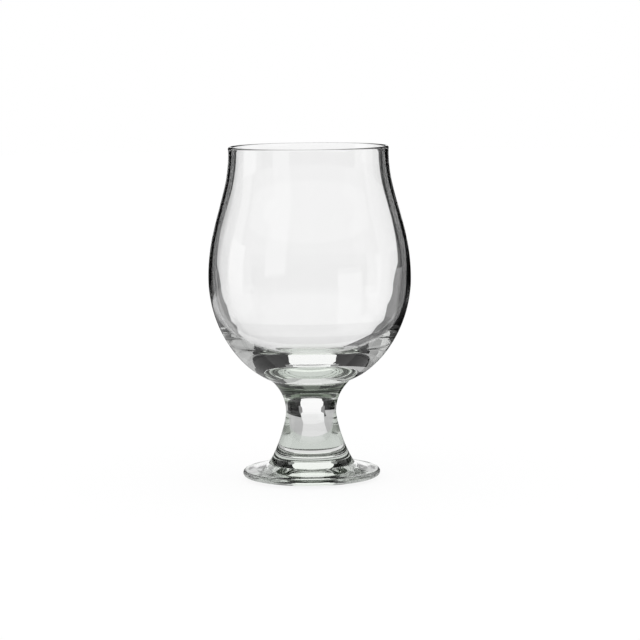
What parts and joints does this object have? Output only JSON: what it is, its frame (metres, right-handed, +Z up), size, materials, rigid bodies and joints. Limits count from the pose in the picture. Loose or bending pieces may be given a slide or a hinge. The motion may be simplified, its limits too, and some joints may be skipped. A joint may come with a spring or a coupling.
{
  "type": "tulip beer glass",
  "caption": "Clear stemmed beer glass with a full-bellied tulip bowl, drawn-in neck and upright rim, on a short waisted stem and a round foot.",
  "frame": {"origin": "on the surface the glass stands on, under the middle of the foot", "axes": "+Z up along the glass's turning axis; X and Y are equal because the glass is round"},
  "size_m": [0.088, 0.088, 0.1438],
  "materials": {
    "bowl_glass": "clear soda-lime glass, fire-polished",
    "stem_glass": "clear soda-lime glass, pressed and fire-polished",
    "foot_glass": "clear soda-lime glass, pressed and fire-polished"
  },
  "bodies": {
    "root": {"bowl": "bowl_glass", "stem": "stem_glass", "foot": "foot_glass"}
  },
  "joints": []
}
